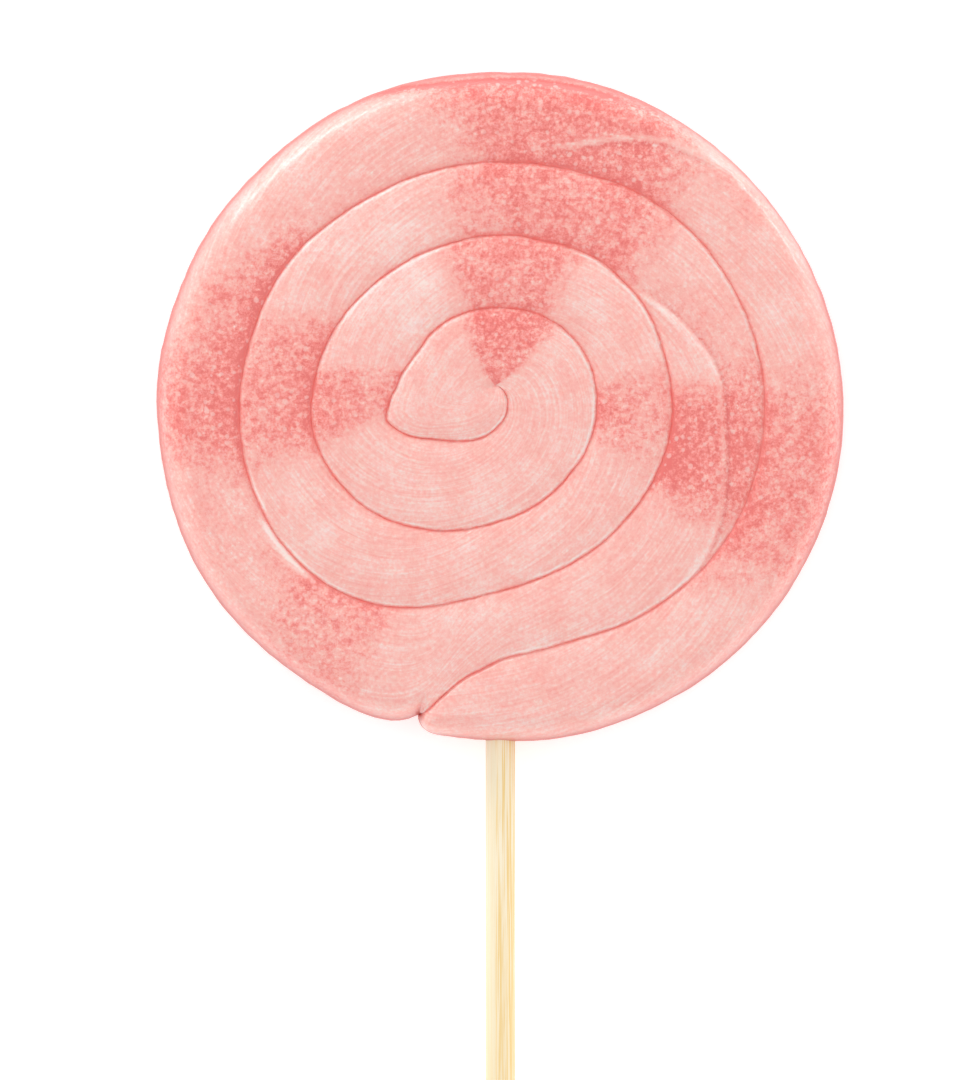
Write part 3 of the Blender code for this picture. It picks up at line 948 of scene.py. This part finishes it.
def make_stick():
    shape = bmesh.new()
    rings = []
    for along, radius in stick_rings():
        ring = []
        for side in range(STICK_SIDES):
            turn = 2.0 * math.pi * side / STICK_SIDES
            x, z = radius * math.cos(turn), radius * math.sin(turn)
            y = STICK_LOW.y + along
            pulled_in = fibre_depth(x, y, z)
            keep = 1.0 - pulled_in / STICK_RADIUS
            nearest_end = min(along, STICK_HIGH.y - STICK_LOW.y - along)
            if nearest_end < STICK_EDGE / 2:
                y += pulled_in if along < STICK_EDGE else -pulled_in
            ring.append(shape.verts.new((x * keep, y, MIDDLE + z * keep)))
        rings.append(ring)
    for ring, following in zip(rings, rings[1:]):
        for i in range(STICK_SIDES):
            shape.faces.new((ring[i - 1], ring[i], following[i], following[i - 1]))
    for ring, y, order in ((rings[0], STICK_LOW.y, 1), (rings[-1], STICK_HIGH.y, -1)):
        middle = shape.verts.new((0.0, y + order * FIBRE_RELIEF / 2, MIDDLE))
        for i in range(STICK_SIDES):
            shape.faces.new((ring[i], ring[i - 1], middle)[::order])
    bmesh.ops.recalc_face_normals(shape, faces=shape.faces)
    mesh = bpy.data.meshes.new("stick_bamboo")
    shape.to_mesh(mesh)
    shape.free()
    mesh.shade_smooth()
    stick = bpy.data.objects.new("stick_bamboo", mesh)
    bpy.context.scene.collection.objects.link(stick)
    return stick


stick = make_stick()
print("stick:", len(stick.data.polygons), "faces")

# %% The bamboo's shader
BAMBOO_CREAM = "#F9EFD3"
BAMBOO_GOLD = "#FFF4DA"
BAMBOO_FIBRE = "#F5D28A"
PALE_SIDE_EDGE = -0.64 * MM
PALE_SIDE_BLUR = 0.05 * MM
VEIN_WIDTH = 0.2 * MM
VEIN_LENGTH = 18.0 * MM
VEIN_BLUR = (0.45, 0.56)
VEIN_LEAST = 0.1
VEIN_ON_GOLD = 0.75
VEIN_ON_CREAM = 0.25
GOLDEN_FROM = -64.0 * MM
GOLDEN_FULL = -96.0 * MM
GOLDEN_SHARE = 0.3


def make_bamboo():
    material, tree = new_material("bamboo")
    node = partial(add_node, tree)
    place = node("ShaderNodeTexCoord").outputs["Object"]
    stretch = (1.0 / VEIN_WIDTH, 1.0 / VEIN_LENGTH, 1.0 / VEIN_WIDTH)
    stretched = node("ShaderNodeMapping", {"Vector": place, "Scale": stretch})
    veins = node("ShaderNodeTexNoise", {"Vector": stretched, "Scale": 1.0, "Detail": 3.0,
                                        "Roughness": 0.6})
    x, y, _ = node("ShaderNodeSeparateXYZ", place).outputs

    # Veins show less on the pale side, and the free end is a little more golden
    gold = node("ShaderNodeMapRange", x, PALE_SIDE_EDGE - PALE_SIDE_BLUR, PALE_SIDE_EDGE + PALE_SIDE_BLUR)
    colour = node("ShaderNodeMix", gold, linear(BAMBOO_CREAM), linear(BAMBOO_GOLD), data_type="RGBA")
    vein = node("ShaderNodeMapRange", veins, *VEIN_BLUR, VEIN_LEAST, 1.0)
    vein = node("MULTIPLY", vein, node("MULTIPLY_ADD", gold, VEIN_ON_GOLD, VEIN_ON_CREAM))
    colour = node("ShaderNodeMix", vein, colour, linear(BAMBOO_FIBRE), data_type="RGBA")
    golden = node("ShaderNodeMapRange", y, GOLDEN_FROM, GOLDEN_FULL, 0.0, GOLDEN_SHARE)
    colour = node("ShaderNodeMix", golden, colour, linear(BAMBOO_FIBRE), data_type="RGBA")
    bump = node("ShaderNodeBump", {"Height": veins, "Strength": 0.3, "Distance": 0.05 * MM})
    shader = node("ShaderNodeBsdfPrincipled", {
        "Base Color": colour,
        "Normal": bump,
        "Roughness": 0.55,
        "IOR": 1.5,
    })
    node("ShaderNodeOutputMaterial", shader)
    return material


stick.data.materials.append(make_bamboo())
print("the stick's material:", stick.data.materials[0].name)

# %% [markdown]
# ## Each piece takes its node's place
#
# The dressed candy and stick stand for their solids and belong to the lollipop's one body.

# %% Ride and replace
for piece, node_name, slot in ((candy, "candy", "pulled_sugar"), (stick, "stick", "bamboo")):
    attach(piece, "root")
    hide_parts(node_name)
    print(piece.name, "stands for", node_name)

# %% [markdown]
# ## Floor, light and camera
#
# The lollipop lies on a white table that glows a little, like a light box, so that hardly any shadow
# shows round it. A low soft light from the upper left catches the rim and the creases, and a fainter
# one from the upper right does the same on the other side. The camera looks down from far away, a
# little from the disc's upper side.

# %% Floor
FLOOR_SIZE = 4.0
FLOOR_GLOW = 0.4


def make_floor():
    bpy.ops.mesh.primitive_plane_add(size=FLOOR_SIZE)
    floor = bpy.context.object
    floor.name = "floor"
    material = bpy.data.materials.new("light_table")
    material.use_nodes = True
    shader = material.node_tree.nodes["Principled BSDF"]
    shader.inputs["Base Color"].default_value = linear("#F4F4F4")
    shader.inputs["Roughness"].default_value = 0.9
    shader.inputs["Emission Color"].default_value = linear("#FFFFFF")
    shader.inputs["Emission Strength"].default_value = FLOOR_GLOW
    floor.data.materials.append(material)


make_floor()
print("floor in m:", FLOOR_SIZE)

# %% Light
SKY_STRENGTH = 0.93
SkyLight = namedtuple("SkyLight", "name azimuth elevation distance width height power")
LIGHTS = (
    SkyLight("upper_left_strip", 124.0, 14.0, 0.6, 0.42, 0.12, 1.15),
    SkyLight("upper_right_strip", 36.0, 5.0, 0.6, 0.3, 0.04, 0.6),
)


def make_light(sky_light):
    data = bpy.data.lights.new(sky_light.name, "AREA")
    data.shape = "RECTANGLE"
    data.size = sky_light.width
    data.size_y = sky_light.height
    data.energy = sky_light.power
    light = bpy.data.objects.new(sky_light.name, data)
    turn, lift = math.radians(sky_light.azimuth), math.radians(sky_light.elevation)
    towards = Vector((math.cos(turn) * math.cos(lift), math.sin(turn) * math.cos(lift), math.sin(lift)))
    light.location = towards * sky_light.distance + Vector((0.0, 0.0, MIDDLE))
    light.rotation_euler = towards.to_track_quat("Z", "Y").to_euler()
    bpy.context.scene.collection.objects.link(light)


for sky_light in LIGHTS:
    make_light(sky_light)
    print("light:", sky_light.name, sky_light.power, "W")
world = bpy.data.worlds.new("studio")
world.use_nodes = True
world.node_tree.nodes["Background"].inputs["Color"].default_value = linear("#FFFFFF")
world.node_tree.nodes["Background"].inputs["Strength"].default_value = SKY_STRENGTH
bpy.context.scene.world = world

# %% Camera
# The photo is 980 by 1080 pixels, and its width takes in 131.8 mm at the disc
VIEW_WIDTH = 131.8 * MM
VIEW_CENTRE = Vector((-1.4 * MM, -17.9 * MM, MIDDLE))
CAMERA_DISTANCE = 0.9
CAMERA_TILT = 3.0
SENSOR = 36.0


def make_camera():
    data = bpy.data.cameras.new("camera")
    data.sensor_fit = "HORIZONTAL"
    data.sensor_width = SENSOR
    data.lens = SENSOR * CAMERA_DISTANCE / VIEW_WIDTH
    camera = bpy.data.objects.new("camera", data)
    tilt = math.radians(CAMERA_TILT)
    camera.location = VIEW_CENTRE + CAMERA_DISTANCE * Vector((0.0, math.sin(tilt), math.cos(tilt)))
    camera.rotation_euler = (-tilt, 0.0, 0.0)
    bpy.context.scene.collection.objects.link(camera)
    bpy.context.scene.camera = camera
    print("lens in mm:", round(data.lens))


make_camera()
bpy.context.scene.view_settings.view_transform = "Standard"
